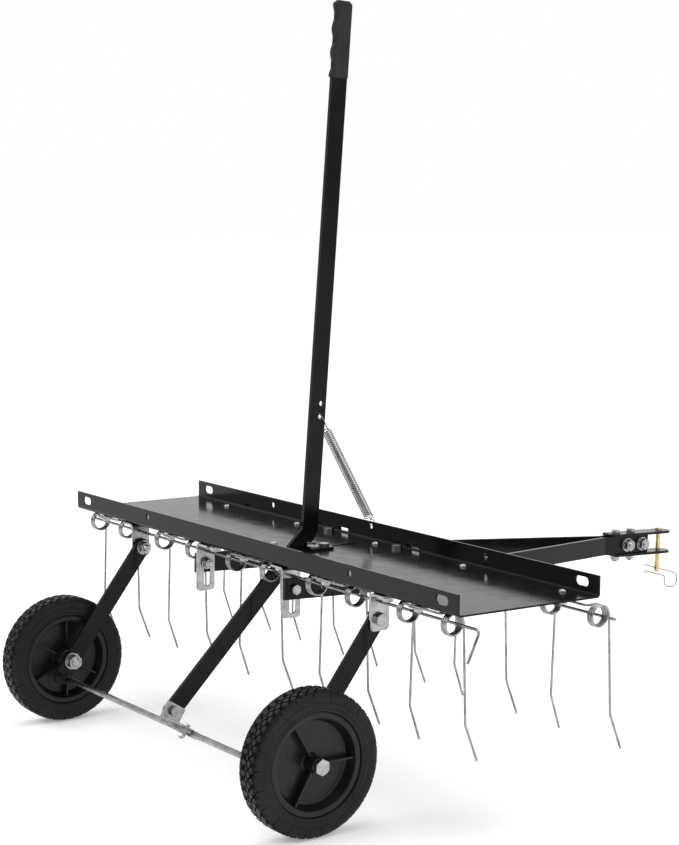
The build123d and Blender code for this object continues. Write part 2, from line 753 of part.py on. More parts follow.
for name, base, rear in (
    ("hitch_top_plate", flat_height / 2, top_plate_rear),
    ("hitch_bottom_plate", -flat_height / 2 - plate_thickness, bottom_plate_rear),
):
    with BuildPart() as hitch_plate:
        with BuildSketch(drawbar_plane(base)):
            with Locations((0, (rear + plate_front) / 2)):
                Rectangle(plate_width, plate_front - rear)
            fillet(vertices().group_by(Axis.Y)[-1], radius=plate_width / 2 - 0.5)
            fillet(vertices().group_by(Axis.Y)[0], radius=3)
            with Locations(*[(0, along) for along in clamp_bolt_places]):
                Circle(4 + hole_clearance, mode=Mode.SUBTRACT)
            with Locations((0, pin_along)):
                Circle(pin_radius + running_clearance, mode=Mode.SUBTRACT)
        extrude(amount=plate_thickness)
    save(hitch_plate.part, name)

half_stack = hitch_offset + flat_thickness / 2
with BuildPart() as hitch_cross_bolts:
    for along in cross_bolt_places:
        hex_bolt(on_drawbar(-half_stack, along, 0), RIGHT, 10, 2 * half_stack + 13)
        nut(on_drawbar(half_stack, along, 0), RIGHT, 10, with_washer=True)
save(hitch_cross_bolts.part, "hitch_cross_bolts")

half_height = flat_height / 2 + plate_thickness
with BuildPart() as hitch_clamp_bolts:
    for along in clamp_bolt_places:
        hex_bolt(on_drawbar(0, along, half_height), drawbar_up * -1, 8, 2 * half_height + 9)
        nut(on_drawbar(0, along, -half_height), drawbar_up * -1, 8)
save(hitch_clamp_bolts.part, "hitch_clamp_bolts")

# bolts that ride in the slotted rear brackets, and the pivot bolts at the front brackets
bar_outer = bar_offset + flat_thickness / 2
plate_inner = drawbar_bracket_x - bracket_sheet / 2
with BuildPart() as slot_bolts:
    for direction in (LEFT, RIGHT):
        seat = on_drawbar(direction.X * bar_outer, -slot_bolt_back, 0)
        hex_bolt(seat, direction * -1, 8, bar_outer - plate_inner + 11)
save(slot_bolts.part, "slot_bolts")

with BuildPart() as slot_nuts:
    for direction in (LEFT, RIGHT):
        seat = on_drawbar(direction.X * (plate_inner - gap), -slot_bolt_back, 0)
        nut(seat, direction * -1, 8, with_washer=True)
save(slot_nuts.part, "slot_nuts")

with BuildPart() as drawbar_pivot_bolts:
    for direction in (LEFT, RIGHT):
        seat = at(drawbar_x + direction.X * (bar_outer + gap), hinge_y, bar_z - hinge_drop)
        hex_bolt(seat, direction * -1, 8, bar_outer + gap - plate_inner + 8)
save(drawbar_pivot_bolts.part, "drawbar_pivot_bolts")

with BuildPart() as drawbar_pivot_nuts:
    for direction in (LEFT, RIGHT):
        nut(at(drawbar_x + direction.X * plate_inner, hinge_y, bar_z - hinge_drop), direction * -1, 8)
save(drawbar_pivot_nuts.part, "drawbar_pivot_nuts")

# ============================================================ hitch pin and hairpin clip
pin_tip = -50
pin_head_radius = 6
clip_height = -44
clip_wire = 1
clip_slope = 15             # the clip hangs a little nose down
clip_hole = 2.3
nose = radians(clip_slope)

with BuildPart() as hitch_pin:
    cylinder(on_drawbar(0, pin_along, half_height), drawbar_up * -1, pin_radius, half_height - pin_tip)
    cylinder(on_drawbar(0, pin_along, half_height), drawbar_up, pin_head_radius, 3)
    chamfer(edges().sort_by(Axis.Z)[0], length=1)
    drill(on_drawbar(0, pin_along, clip_height), drawbar_forward, clip_hole, 20)
save(hitch_pin.part, "hitch_pin")


def clip_plane():
    """Plane of the clip, centred on the pin's cross hole, along the leg that goes through it."""
    centre = on_drawbar(0, pin_along, clip_height)
    forward = drawbar_forward * cos(nose) - drawbar_up * sin(nose)
    return Plane(origin=centre, x_dir=forward, z_dir=(1, 0, 0))


with BuildPart() as hairpin_clip:
    with BuildLine(clip_plane()) as bent_wire:
        FilletPolyline(
            (-26, 0), (50.5, 0), (50.5, -24), (25.5, -24), (21, -9.3), (-18, -9.3), (-24, -12.5),
            radius=[11.9, 11.9, 9, 4, 4],
        )
    with BuildSketch(Plane(origin=bent_wire.line @ 0, z_dir=bent_wire.line % 0)):
        Circle(clip_wire)
    sweep(path=bent_wire.wire())
save(hairpin_clip.part, "hairpin_clip")

# ============================================================ lift spring
spring_radius = 7           # outside
spring_wire = 0.75
spring_middle = spring_radius - spring_wire
top_hook = 24               # from the lever hole to the first coil
bottom_hook = 10            # from the last coil to the middle of the ring round the flange edge
ring_radius = 4.9
lever_hole = at(lever_x + bar_thickness / 2, 6.4, 187.9)
ring_centre = at(spring_hole_x, flange_y, 26.3)
pull = (ring_centre - lever_hole).normalized()
sideways = (RIGHT - pull * RIGHT.dot(pull)).normalized()
hook_plane = Plane(origin=lever_hole, x_dir=sideways, z_dir=sideways.cross(pull))

with BuildPart() as lift_spring:
    with BuildSketch(Plane(origin=lever_hole + pull * top_hook, z_dir=pull)):
        Circle(spring_radius)
        Circle(spring_radius - 2 * spring_wire, mode=Mode.SUBTRACT)
    extrude(amount=(ring_centre - lever_hole).length - top_hook - bottom_hook)
    # the last coil turns in to the axis
    cylinder(ring_centre - pull * bottom_hook, pull * -1, spring_radius, 2 * spring_wire)
    with BuildLine(hook_plane) as hook:
        Line((spring_middle, top_hook + 1), (spring_middle, spring_middle))
        ThreePointArc((spring_middle, spring_middle), (0, 0), (-spring_middle, spring_middle))
        Line((-spring_middle, spring_middle), (-spring_middle, spring_middle + 5))
    with BuildSketch(Plane(origin=hook.line @ 0, z_dir=hook.line % 0)):
        Circle(spring_wire)
    sweep(path=hook.wire())
    with BuildSketch(Plane(origin=ring_centre, x_dir=(0, 1, 0), z_dir=(0, 0, 1))):
        with Locations((ring_radius, 0)):
            Circle(spring_wire)
    revolve(axis=Axis(ring_centre, (1, 0, 0)))
    cylinder(ring_centre - pull * (bottom_hook + 1), pull, spring_wire, bottom_hook + 1 - ring_radius)
save(lift_spring.part, "lift_spring")
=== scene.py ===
import json
from math import atan2, copysign, cos, pi, radians, sin, tan, tau

import bmesh
import bpy
from mathutils import Matrix, Vector


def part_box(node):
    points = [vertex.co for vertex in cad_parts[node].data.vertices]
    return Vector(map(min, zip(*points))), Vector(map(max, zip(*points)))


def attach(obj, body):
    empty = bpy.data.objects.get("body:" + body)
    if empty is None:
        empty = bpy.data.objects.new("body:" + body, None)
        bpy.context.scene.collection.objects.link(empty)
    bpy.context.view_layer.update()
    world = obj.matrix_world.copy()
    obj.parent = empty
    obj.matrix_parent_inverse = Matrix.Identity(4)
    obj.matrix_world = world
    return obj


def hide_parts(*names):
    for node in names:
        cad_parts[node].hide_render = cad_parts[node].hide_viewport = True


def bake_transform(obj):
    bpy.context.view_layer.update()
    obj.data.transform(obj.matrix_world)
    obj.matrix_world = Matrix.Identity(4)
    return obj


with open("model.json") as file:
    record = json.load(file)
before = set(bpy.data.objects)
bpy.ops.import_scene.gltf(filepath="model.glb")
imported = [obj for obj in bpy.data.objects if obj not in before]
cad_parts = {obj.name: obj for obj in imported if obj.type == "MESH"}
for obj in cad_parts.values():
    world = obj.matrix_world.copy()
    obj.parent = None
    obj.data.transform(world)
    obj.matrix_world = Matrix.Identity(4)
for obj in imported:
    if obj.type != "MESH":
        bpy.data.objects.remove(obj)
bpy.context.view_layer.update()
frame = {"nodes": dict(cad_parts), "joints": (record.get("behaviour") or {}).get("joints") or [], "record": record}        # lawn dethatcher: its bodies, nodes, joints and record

MM = 0.001
X = Vector((1, 0, 0))
Y = Vector((0, 1, 0))
Z = Vector((0, 0, 1))
JOINTS = {joint["name"]: joint for joint in frame["joints"]}
SLOT_OF = {part["node"]: part["material_slot"] for part in frame["record"]["subparts"]}

# middle of the underside of the deck, forward of and above the lift pivots
TRAY = Vector(JOINTS["lift"]["pos_m"]) + Vector((0, 98, 35)) * MM


def body_of(node):
    """Name of the CAD body that holds a node."""
    bodies = frame["record"]["behaviour"]["bodies"]
    return next(body for body, nodes in bodies.items() if node in nodes)


# ============================================================ materials
def new_material(name):
    """Material with its node tree and its principled shader."""
    material = bpy.data.materials.new(name)
    material.use_nodes = True
    tree = material.node_tree
    return material, tree, tree.nodes["Principled BSDF"]


def noise(tree, scale, detail=3.0, stretch=(1, 1, 1)):
    """Noise in object space, which is the frame's metres; scale counts features per metre."""
    place = tree.nodes.new("ShaderNodeTexCoord")
    mapping = tree.nodes.new("ShaderNodeMapping")
    mapping.inputs["Scale"].default_value = stretch
    texture = tree.nodes.new("ShaderNodeTexNoise")
    texture.inputs["Scale"].default_value = scale
    texture.inputs["Detail"].default_value = detail
    texture.inputs["Roughness"].default_value = 0.55
    tree.links.new(place.outputs["Object"], mapping.inputs["Vector"])
    tree.links.new(mapping.outputs["Vector"], texture.inputs["Vector"])
    return texture.outputs["Fac"]


def vary(tree, socket, factor, low, high):
    """Let a socket run between two colours or two greys with a noise."""
    node = tree.nodes.new("ShaderNodeValToRGB")
    for element, place, value in zip(node.color_ramp.elements, (0.3, 0.7), (low, high)):
        element.position = place
        element.color = (*value, 1) if isinstance(value, tuple) else (value, value, value, 1)
    tree.links.new(factor, node.inputs["Fac"])
    tree.links.new(node.outputs["Color"], socket)


def bump(tree, shader, height, strength, distance):
    """Relief of the given depth in metres, chained after any relief already there."""
    node = tree.nodes.new("ShaderNodeBump")
    node.inputs["Strength"].default_value = strength
    node.inputs["Distance"].default_value = distance
    tree.links.new(height, node.inputs["Height"])
    before = shader.inputs["Normal"].links
    if before:
        tree.links.new(before[0].from_socket, node.inputs["Normal"])
    tree.links.new(node.outputs["Normal"], shader.inputs["Normal"])


def powder_coat():
    """Gloss black powder coat: faint orange peel, a little handling haze."""
    material, tree, shader = new_material("powder_coat")
    haze = noise(tree, 9, detail=5)
    vary(tree, shader.inputs["Base Color"], haze, (0.0045, 0.0045, 0.005), (0.008, 0.008, 0.0085))
    vary(tree, shader.inputs["Roughness"], noise(tree, 38, detail=6), 0.10, 0.19)
    shader.inputs["Specular IOR Level"].default_value = 0.14
    bump(tree, shader, noise(tree, 420, detail=1.5), 0.06, 0.4 * MM)
    return material


def bright_zinc():
    """Plated steel: soft blotches in tone and gloss, fine rolling marks."""
    material, tree, shader = new_material("bright_zinc")
    shader.inputs["Metallic"].default_value = 1.0
    blotches = noise(tree, 130, detail=5)
    vary(tree, shader.inputs["Base Color"], blotches, (0.252, 0.255, 0.258), (0.42, 0.425, 0.43))
    vary(tree, shader.inputs["Roughness"], noise(tree, 75, detail=6), 0.16, 0.30)
    bump(tree, shader, noise(tree, 900, detail=3), 0.16, 0.3 * MM)
    bump(tree, shader, noise(tree, 130, detail=4, stretch=(1, 9, 9)), 0.05, 0.4 * MM)
    return material


def spring_steel():
    """Drawn wire: long streaks, slightly dull, traces of brown."""
    material, tree, shader = new_material("spring_steel")
    shader.inputs["Metallic"].default_value = 1.0
    streaks = noise(tree, 60, detail=6)
    vary(tree, shader.inputs["Base Color"], streaks, (0.18, 0.177, 0.172), (0.38, 0.38, 0.38))
    vary(tree, shader.inputs["Roughness"], noise(tree, 170, detail=5), 0.17, 0.32)
    bump(tree, shader, noise(tree, 700, detail=3, stretch=(1, 1, 0.15)), 0.15, 0.3 * MM)
    return material


def yellow_zinc():
    """Yellow passivated zinc, blotched from straw to amber."""
    material, tree, shader = new_material("yellow_zinc")
    shader.inputs["Metallic"].default_value = 1.0
    blotches = noise(tree, 160, detail=5)
    vary(tree, shader.inputs["Base Color"], blotches, (0.50, 0.33, 0.12), (0.80, 0.64, 0.36))
    vary(tree, shader.inputs["Roughness"], noise(tree, 220, detail=4), 0.22, 0.36)
    bump(tree, shader, noise(tree, 900, detail=2), 0.12, 0.3 * MM)
    return material


def soft_black(name, dark, light, rough, grain, relief, gloss):
    """Black rubber or plastic with a matt grain and patchy dust."""
    material, tree, shader = new_material(name)
    vary(tree, shader.inputs["Base Color"], noise(tree, 30, detail=7), dark, light)
    patches = noise(tree, 95, detail=5)
    vary(tree, shader.inputs["Roughness"], patches, rough - 0.08, rough + 0.08)
    shader.inputs["Specular IOR Level"].default_value = gloss
    bump(tree, shader, noise(tree, grain, detail=3), 0.35, relief)
    return material


FINISH = {
    "black": powder_coat(),
    "zinc": bright_zinc(),
    "spring": spring_steel(),
    "gold": yellow_zinc(),
    "rubber": soft_black(
        "grip_rubber", dark=(0.012, 0.012, 0.0125), light=(0.021, 0.021, 0.022),
        rough=0.50, grain=1500, relief=0.4 * MM, gloss=0.2,
    ),
    "tyre": soft_black(
        "tyre_rubber", dark=(0.005, 0.005, 0.0053), light=(0.011, 0.011, 0.011),
        rough=0.42, grain=900, relief=0.2 * MM, gloss=0.2,
    ),
    "rim": soft_black(
        "rim_plastic", dark=(0.005, 0.005, 0.0053), light=(0.009, 0.009, 0.0093),
        rough=0.34, grain=700, relief=0.2 * MM, gloss=0.3,
    ),
}


# ============================================================ mesh helpers
def to_mesh(name, shape):
    """Mesh datablock from a bmesh, which is freed."""
    bmesh.ops.recalc_face_normals(shape, faces=shape.faces)
    mesh = bpy.data.meshes.new(name)
    shape.to_mesh(mesh)
    shape.free()
    return mesh


def new_piece(name, mesh, node):
    """Object for a new mesh that stands for one CAD node and has that node's finish."""
    piece = bpy.data.objects.new(name, mesh)
    bpy.context.scene.collection.objects.link(piece)
    mesh.materials.clear()
    mesh.materials.append(FINISH[SLOT_OF[node]])
    mesh.shade_smooth()
    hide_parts(node)
    return piece


def finish_piece(name, mesh, node, smooth_angle=35):
    """New piece that rides on its node's body, with edges sharper than smooth_angle kept crisp."""
    piece = new_piece(name, mesh, node)
    mesh.set_sharp_from_angle(angle=radians(smooth_angle))
    even = piece.modifiers.new("even_shading", "WEIGHTED_NORMAL")
    even.keep_sharp = True
    even.weight = 100
    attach(piece, body_of(node))


def welded(node):
    """Bmesh of a CAD node with its doubled corners joined."""
    shape = bmesh.new()
    shape.from_mesh(frame["nodes"][node].data)
    bmesh.ops.remove_doubles(shape, verts=shape.verts, dist=1e-6)
    return shape


def soften(node, width):
    """Copy of a CAD node with its flat faces joined and its sharp edges rounded."""
    shape = welded(node)
    bmesh.ops.dissolve_limit(
        shape, angle_limit=radians(0.5), verts=shape.verts, edges=shape.edges, delimit={"NORMAL"}
    )
    sharp = [
        edge for edge in shape.edges
        if len(edge.link_faces) == 2 and edge.calc_face_angle(0) > radians(38)
    ]
    bmesh.ops.bevel(
        shape, geom=sharp, offset=width, offset_type="OFFSET", segments=2,
        profile=0.5, affect="EDGES", clamp_overlap=True,
    )
    finish_piece(f"{node}_finished", to_mesh(node, shape), node)


def add_ring(shape, centre, first, second, radii):
    """Ring of vertices about a centre, in the plane of two unit vectors, one for each radius."""
    steps = len(radii)
    ring = []
    for k, radius in enumerate(radii):
        angle = tau * k / steps
        ring.append(shape.verts.new(centre + (first * cos(angle) + second * sin(angle)) * radius))
    return ring


def bridge(shape, lower, upper):
    """Faces between two neighbouring rings, either of which may be a single vertex."""
    count = max(len(lower), len(upper))
    for k in range(count):
        after = (k + 1) % count
        if len(lower) == 1:
            shape.faces.new((lower[0], upper[k], upper[after]))
        elif len(upper) == 1:
            shape.faces.new((lower[k], lower[after], upper[0]))
        else:
            shape.faces.new((lower[k], lower[after], upper[after], upper[k]))


def bridge_all(shape, rings):
    """Faces between every ring and the next."""
    for lower, upper in zip(rings, rings[1:]):
        bridge(shape, lower, upper)


def sides_along(points):
    """A steady pair of side vectors at each point of a path, carried along without twist."""
    last = len(points) - 1
    tangents = [
        (points[min(i + 1, last)] - points[max(i - 1, 0)]).normalized() for i in range(last + 1)
    ]
    side = tangents[0].orthogonal().normalized()
    pairs = []
    for tangent in tangents:
        side = (side - tangent * side.dot(tangent)).normalized()
        pairs.append((side, tangent.cross(side)))
    return pairs


def add_tube(shape, points, radius, sides):
    """Round wire along a path of points, with blunt rounded ends."""
    rings = [
        add_ring(shape, point, first, second, [radius] * sides)
        for point, (first, second) in zip(points, sides_along(points))
    ]
    bridge_all(shape, rings)
    for end, neighbour, ring in ((points[0], points[1], rings[0]), (points[-1], points[-2], rings[-1])):
        tip = shape.verts.new(end + (end - neighbour).normalized() * radius * 0.5)
        bridge(shape, ring, [tip])


def add_lathe(shape, centre, axis, profile, steps, start=None):
    """Surface of revolution. The profile lists radius and distance along the axis; radius 0 closes it."""
    first = start or axis.orthogonal().normalized()
    first = (first - axis * first.dot(axis)).normalized()
    second = axis.cross(first)
    rings = []
    for radius, along in profile:
        place = centre + axis * along
        if radius < 1e-7:
            rings.append([shape.verts.new(place)])
        else:
            rings.append(add_ring(shape, place, first, second, [radius] * steps))
    bridge_all(shape, rings)


def smoothstep(low, high, value):
    """0 below low, 1 above high, and a smooth rise between them."""
    share = min(max((value - low) / (high - low), 0.0), 1.0)
    return share * share * (3 - 2 * share)


# ============================================================ sheet, bars and plates
EDGE_ROUNDING_MM = (
    ("tray", 0.5), ("lift_lever", 0.8), ("left_wheel_arm", 0.8), ("right_wheel_arm", 0.8),
    ("left_drawbar", 0.7), ("right_drawbar", 0.7),
    ("hitch_top_plate", 0.6), ("hitch_bottom_plate", 0.6),
    ("latch_plate", 0.5), ("latch_clip", 0.4), ("guide_strip", 0.5),
    ("tine_clamps", 0.3), ("front_packing", 0.3),
    ("left_wheel_bracket", 0.5), ("right_wheel_bracket", 0.5),
    ("left_rear_drawbar_bracket", 0.5), ("right_rear_drawbar_bracket", 0.5),
    ("left_front_drawbar_bracket", 0.5), ("right_front_drawbar_bracket", 0.5),
    ("rod_bracket", 0.5), ("rod_saddle", 0.4), ("cross_rod", 0.3), ("hitch_pin", 0.5),
)
for node, rounding in EDGE_ROUNDING_MM:
    soften(node, rounding * MM)


# ============================================================ nuts, bolts and washers
THREAD_PITCH = 1.25 * MM
THREAD_DEPTH = 0.45 * MM
HEX_STEPS = 48


def islands(node):
    """Corner points of each separate solid in a CAD node."""
    shape = welded(node)
    seen = set()
    groups = []
    for vertex in shape.verts:
        if vertex in seen:
            continue
        stack = [vertex]
        seen.add(vertex)
        group = []
        while stack:
            current = stack.pop()
            group.append(current.co.copy())
            for edge in current.link_edges:
                neighbour = edge.other_vert(current)
                if neighbour not in seen:
                    seen.add(neighbour)
                    stack.append(neighbour)
        groups.append(group)
    shape.free()
    return groups


def add_hex(shape, centre, axis, corner, height, turn, bore=0):
    """Hexagon with its corners turned off: a nut with both ends turned, or a bolt head if bore is 0."""
    first = turn.normalized()
    second = axis.cross(first)
    flat = corner * cos(pi / 6)
    inscribed = flat * 0.97
    chamfer = 0.60 * (corner - flat)
    # distance along the axis, and how far the cone there has opened from flats to corners
    far_end = [(height - chamfer, 1), (height - chamfer * 0.35, 0.35), (height, 0)]
    near_end = [(0, 0), (chamfer * 0.35, 0.35), (chamfer, 1)] if bore else [(0, 1)]
    rings = []
    for along, share in near_end + far_end:
        cone = inscribed + (corner - inscribed) * share
        radii = []
        for k in range(HEX_STEPS):
            fold = (tau * k / HEX_STEPS + pi / 6) % (pi / 3) - pi / 6
            radii.append(min(flat / cos(pi / 6 - abs(fold)), cone))
        rings.append(add_ring(shape, centre + axis * along, first, second, radii))
    bridge_all(shape, rings)
    if bore:
        for ring, along, inward in ((rings[0], 0, 1), (rings[-1], height, -1)):
            mouth = centre + axis * along
            throat = centre + axis * (along + inward * bore * 0.15)
            lip = add_ring(shape, mouth, first, second, [bore * 1.08] * HEX_STEPS)
            bridge_all(shape, [ring, lip, add_ring(shape, throat, first, second, [bore] * HEX_STEPS)])
    else:
        shape.faces.new(rings[0])
        shape.faces.new(rings[-1])


def add_shank(shape, centre, axis, radius, start, end, plain):
    """Bolt shank: a plain length from start, then rolled threads to a turned end."""
    profile = [(0, start), (radius, start), (radius, start + plain)]
    along = start + plain
    while along + THREAD_PITCH < end - 0.18 * radius:
        profile.append((radius - THREAD_DEPTH, along + THREAD_PITCH * 0.5))
        profile.append((radius, along + THREAD_PITCH * 0.9))
        along += THREAD_PITCH
    profile += [(radius * 0.86, end - radius * 0.05), (radius * 0.78, end), (0, end)]
    add_lathe(shape, centre, axis, profile, steps=28)


def add_washer(shape, centre, axis, bore, rim, low, high):
    """Flat washer with its outer edges broken."""
    edge = min(0.35 * MM, (high - low) * 0.2)
    add_lathe(shape, centre, axis, [
        (bore, low), (rim - edge, low), (rim, low + edge),
        (rim, high - edge), (rim - edge, high), (bore, high),
    ], steps=40)


def add_dome(shape, centre, outward, radius, seat, top):
    """Low round bolt head: a thin straight rim, then a dome."""
    rim = 0.6 * MM
    profile = [(0, seat), (radius, seat), (radius, seat + rim)]
    for share in (0.35, 0.6, 0.8, 0.92):
        angle = share * pi / 2
        profile.append((radius * cos(angle * 0.98) ** 0.8, seat + rim + (top - seat - rim) * sin(angle)))
    profile.append((0, top))
    add_lathe(shape, centre, outward, profile, steps=36)


def middle_along(points, side):
    """Vector to the middle of a group of points along one direction."""
    values = [point.dot(side) for point in points]
    return side * (min(values) + max(values)) / 2


def dress(node, axis):
    """Replace the plain fasteners of one node by turned and threaded ones in the same places."""
    side = axis.orthogonal().normalized()
    shape = bmesh.new()
    for corners in islands(node):
        base = middle_along(corners, side) + middle_along(corners, axis.cross(side))
        levels = [point.dot(axis) for point in corners]
        reach = [(point - base - axis * level).length for point, level in zip(corners, levels)]
        low, high = min(levels), max(levels)
        widest = max(reach)
        narrow = min(radius for radius in reach if radius > 0.01 * MM)
        outer = [k for k, radius in enumerate(reach) if radius > widest * 0.985]
        outer_low = min(levels[k] for k in outer)
        outer_high = max(levels[k] for k in outer)
        turn = corners[outer[0]] - base - axis * levels[outer[0]]
        is_round = len(outer) > 12
        same_all_through = outer_low - low < 0.01 * MM and high - outer_high < 0.01 * MM
        if same_all_through and is_round:
            add_washer(shape, base, axis, narrow, widest, low, high)
        elif same_all_through:
            add_hex(shape, base + axis * low, axis, widest, high - low, turn, bore=narrow)
        else:
            head_up = high - outer_high < outer_low - low
            outward = axis if head_up else axis * -1
            heights = [point.dot(outward) for point in corners]
            if is_round:
                seat = min(height for height, radius in zip(heights, reach) if radius > narrow * 1.3)
                add_dome(shape, base, outward, widest, seat, max(heights))
                add_shank(shape, base, outward * -1, narrow, -seat, -min(heights), 3 * MM)
            else:
                origin = base + axis * (outer_low if head_up else outer_high)
                length = outer_low - low if head_up else high - outer_high
                add_hex(shape, origin, outward, widest, outer_high - outer_low, turn)
                add_shank(shape, origin, outward * -1, narrow, 0, length, length * 0.45)
    finish_piece(f"{node}_turned", to_mesh(node, shape), node, smooth_angle=28)


for node in (
    "arm_pivot_bolts", "arm_pivot_nuts", "axle_bolts", "axle_nuts", "rod_nuts", "rod_bracket_bolt",
    "hitch_cross_bolts", "slot_bolts", "slot_nuts", "drawbar_pivot_bolts", "drawbar_pivot_nuts",
):
    dress(node, X)
for node in ("carriage_bolts", "carriage_nuts", "bracket_bolts", "bracket_nuts", "latch_bolt"):
    dress(node, Z)
TIE_SLOPE = radians(58)        # the bolt through the cross rod runs down and back
dress("hitch_clamp_bolts", Vector(JOINTS["pin_lift"]["axis"]).normalized())
dress("rod_bolt", Vector((0, -cos(TIE_SLOPE), -sin(TIE_SLOPE))))


# ============================================================ double tines
WIRE = 1.7 * MM                # radius of the wire in the CAD
DRAWN_WIRE = 1.62 * MM         # slightly thinner, so that the turns of a coil stand apart
COIL = 13.2 * MM
COIL_PITCH = 3.7 * MM
COIL_TURNS = 3.25
STEPS_PER_TURN = 40
HALF_PAIR = 50.8 * MM
LOOP_BACK = 14 * MM            # the loop between the coils lies this far behind their axis
LOOP_CORNER = 6 * MM
LEG = 124 * MM
TIP = 49 * MM
KICK = radians(20)             # the tip points forward
KNEE_CORNER = 12 * MM


def rounded_path(corners, radius, steps=8):
    """Points along a polyline with its inner corners rounded."""
    points = [corners[0]]
    for before, corner, after in zip(corners, corners[1:], corners[2:]):
        back = (before - corner).normalized()
        ahead = (after - corner).normalized()
        half = back.angle(ahead) / 2
        reach = radius / tan(half)
        centre = corner + (back + ahead).normalized() * radius / sin(half)
        start = (corner + back * reach - centre).normalized()
        end = (corner + ahead * reach - centre).normalized()
        points += [centre + start.slerp(end, k / steps) * radius for k in range(steps + 1)]
    points.append(corners[-1])
    return points


def tine_path():
    """One wire about the point where the pair is clamped: leg, coil, loop, coil and leg."""
    start_x = HALF_PAIR - COIL_PITCH * COIL_TURNS
    slant = atan2(COIL_PITCH, tau * COIL)
    loop = rounded_path([
        Vector((0, -LOOP_BACK, -WIRE)),
        Vector((start_x - LOOP_BACK * sin(slant), -LOOP_BACK, -WIRE)),
        Vector((start_x, 0, -WIRE)),
    ], LOOP_CORNER)
    steps = int(COIL_TURNS * STEPS_PER_TURN)
    helix = []
    for k in range(1, steps + 1):
        turns = COIL_TURNS * k / steps
        height = -WIRE - COIL + COIL * cos(tau * turns)
        helix.append(Vector((start_x + COIL_PITCH * turns, COIL * sin(tau * turns), height)))
    top = Vector((HALF_PAIR, COIL, -WIRE - COIL))
    knee = top + Vector((sin(slant), 0, -cos(slant))) * LEG
    tip = knee + Vector((sin(slant), sin(KICK), -cos(KICK))) * TIP
    right_half = loop + helix + rounded_path([top, knee, tip], KNEE_CORNER)[1:]
    left_half = [Vector((-point.x, point.y, point.z)) for point in reversed(right_half[1:])]
    return left_half + right_half


tine = tine_path()
for row in ("rear", "front"):
    for number in range(1, 6):
        node = f"{row}_tine_{number}"
        low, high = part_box(node)
        clamped_at = Vector(((low[0] + high[0]) / 2, low[1] + LOOP_BACK + WIRE, high[2]))
        shape = bmesh.new()
        add_tube(shape, [point + clamped_at for point in tine], DRAWN_WIRE, sides=12)
        finish_piece(f"{node}_wire", to_mesh(node, shape), node, smooth_angle=60)


# ============================================================ tyres
WHEEL_RADIUS = 93 * MM
TYRE_HALF = 19 * MM
TYRE_STEPS = 900
RIM_RADIUS = 66 * MM
SHOULDER = 8 * MM              # radius of the tyre's shoulders
SHOULDER_TREAD = 0.35          # share of the tread depth where the walls meet the shoulders
TREAD_DEPTH = 3.4 * MM
BLOCKS = 44                    # diamonds round the tyre
WALL_NOTCHES = 79 * MM         # the tread's notches begin at this radius on the walls


def wave(value):
    """Triangle wave of period one, from -1 to 1."""
    return 4 * abs((value % 1.0) - 0.5) - 1


def groove(distance, half_width):
    """1 in the bottom of a groove, falling to 0 at its edge."""
    return 1 - smoothstep(half_width * 0.55, half_width, abs(distance))


def gap_to_nearest(place, pitch):
    """Distance from a place to the nearest multiple of the pitch."""
    past = place % pitch
    return min(past, pitch - past)


def tread_cut(turn, across):
    """Share of the full tread depth cut away at a place on the tyre."""
    pitch = tau * WHEEL_RADIUS / BLOCKS
    along = turn / tau * BLOCKS
    side = abs(across)
    cut = groove(across - 2.2 * MM * wave(along), 1.3 * MM)
    if 3 * MM < side < 15.5 * MM:
        for direction in (1, -1):
            distance = gap_to_nearest(along * pitch + direction * side * 1.06, pitch)
            cut = max(cut, groove(distance * 0.7, 1.1 * MM))
    edge = groove(side - 15.5 * MM - 0.8 * MM * wave(along), 0.8 * MM)
    cut = max(cut, 0.8 * edge)
    if side > 15 * MM:
        distance = gap_to_nearest(along * pitch + pitch * 0.5, 2 * pitch)
        cut = max(cut, groove(distance, 1.2 * MM))
    return cut


def tyre_section():
    """Bead to bead round the tread: radius, distance along the axle and share of the tread depth."""
    half = []
    for k in range(5):
        radius = RIM_RADIUS + 0.1 * MM + k * 0.7 * MM
        half.append((radius, TYRE_HALF - (4 - k) ** 2 * 0.12 * MM, 0.0))
    ring_lines = (70.8, 71.2, 77.8, 78.2)
    for radius in (70, 70.8, 71.2, 71.6, 74, 77, 77.8, 78.2, 78.6, 79.5, 80.5, 82, 83.4, 84.8):
        sunk = 0.45 * MM if radius in ring_lines else 0.0
        half.append((radius * MM, TYRE_HALF - sunk, SHOULDER_TREAD * smoothstep(79, 81, radius)))
    for k in range(1, 8):
        angle = k / 8 * pi / 2
        radius = WHEEL_RADIUS - SHOULDER * (1 - sin(angle))
        share = SHOULDER_TREAD + (1 - SHOULDER_TREAD) * smoothstep(0.1, 0.5, k / 8)
        half.append((radius, TYRE_HALF - SHOULDER * (1 - cos(angle)), share))
    tread_half = TYRE_HALF - SHOULDER
    count = 34
    tread = [(WHEEL_RADIUS, tread_half - 2 * tread_half * k / count, 1.0) for k in range(count + 1)]
    return half + tread + [(radius, -along, share) for radius, along, share in reversed(half)]


def tyre_mesh(name, centre, outward):
    """Tyre with a diamond tread, notched shoulders and ringed walls."""
    shape = bmesh.new()
    other = outward.cross(Y)
    rings = []
    for radius, along, share in tyre_section():
        # cuts run inwards along the axle on the walls, and towards the axle on the tread
        radial = min(max((radius - WALL_NOTCHES) / (10 * MM), 0.0), 1.0)
        ring = []
        for k in range(TYRE_STEPS):
            turn = tau * k / TYRE_STEPS
            cut = tread_cut(turn, along) * share * TREAD_DEPTH if share else 0.0
            direction = Y * cos(turn) + other * sin(turn)
            place = outward * (along - copysign(cut * (1 - radial), along))
            ring.append(shape.verts.new(centre + place + direction * (radius - cut * radial)))
        rings.append(ring)
    bridge_all(shape, rings + rings[:1])
    return to_mesh(name, shape)


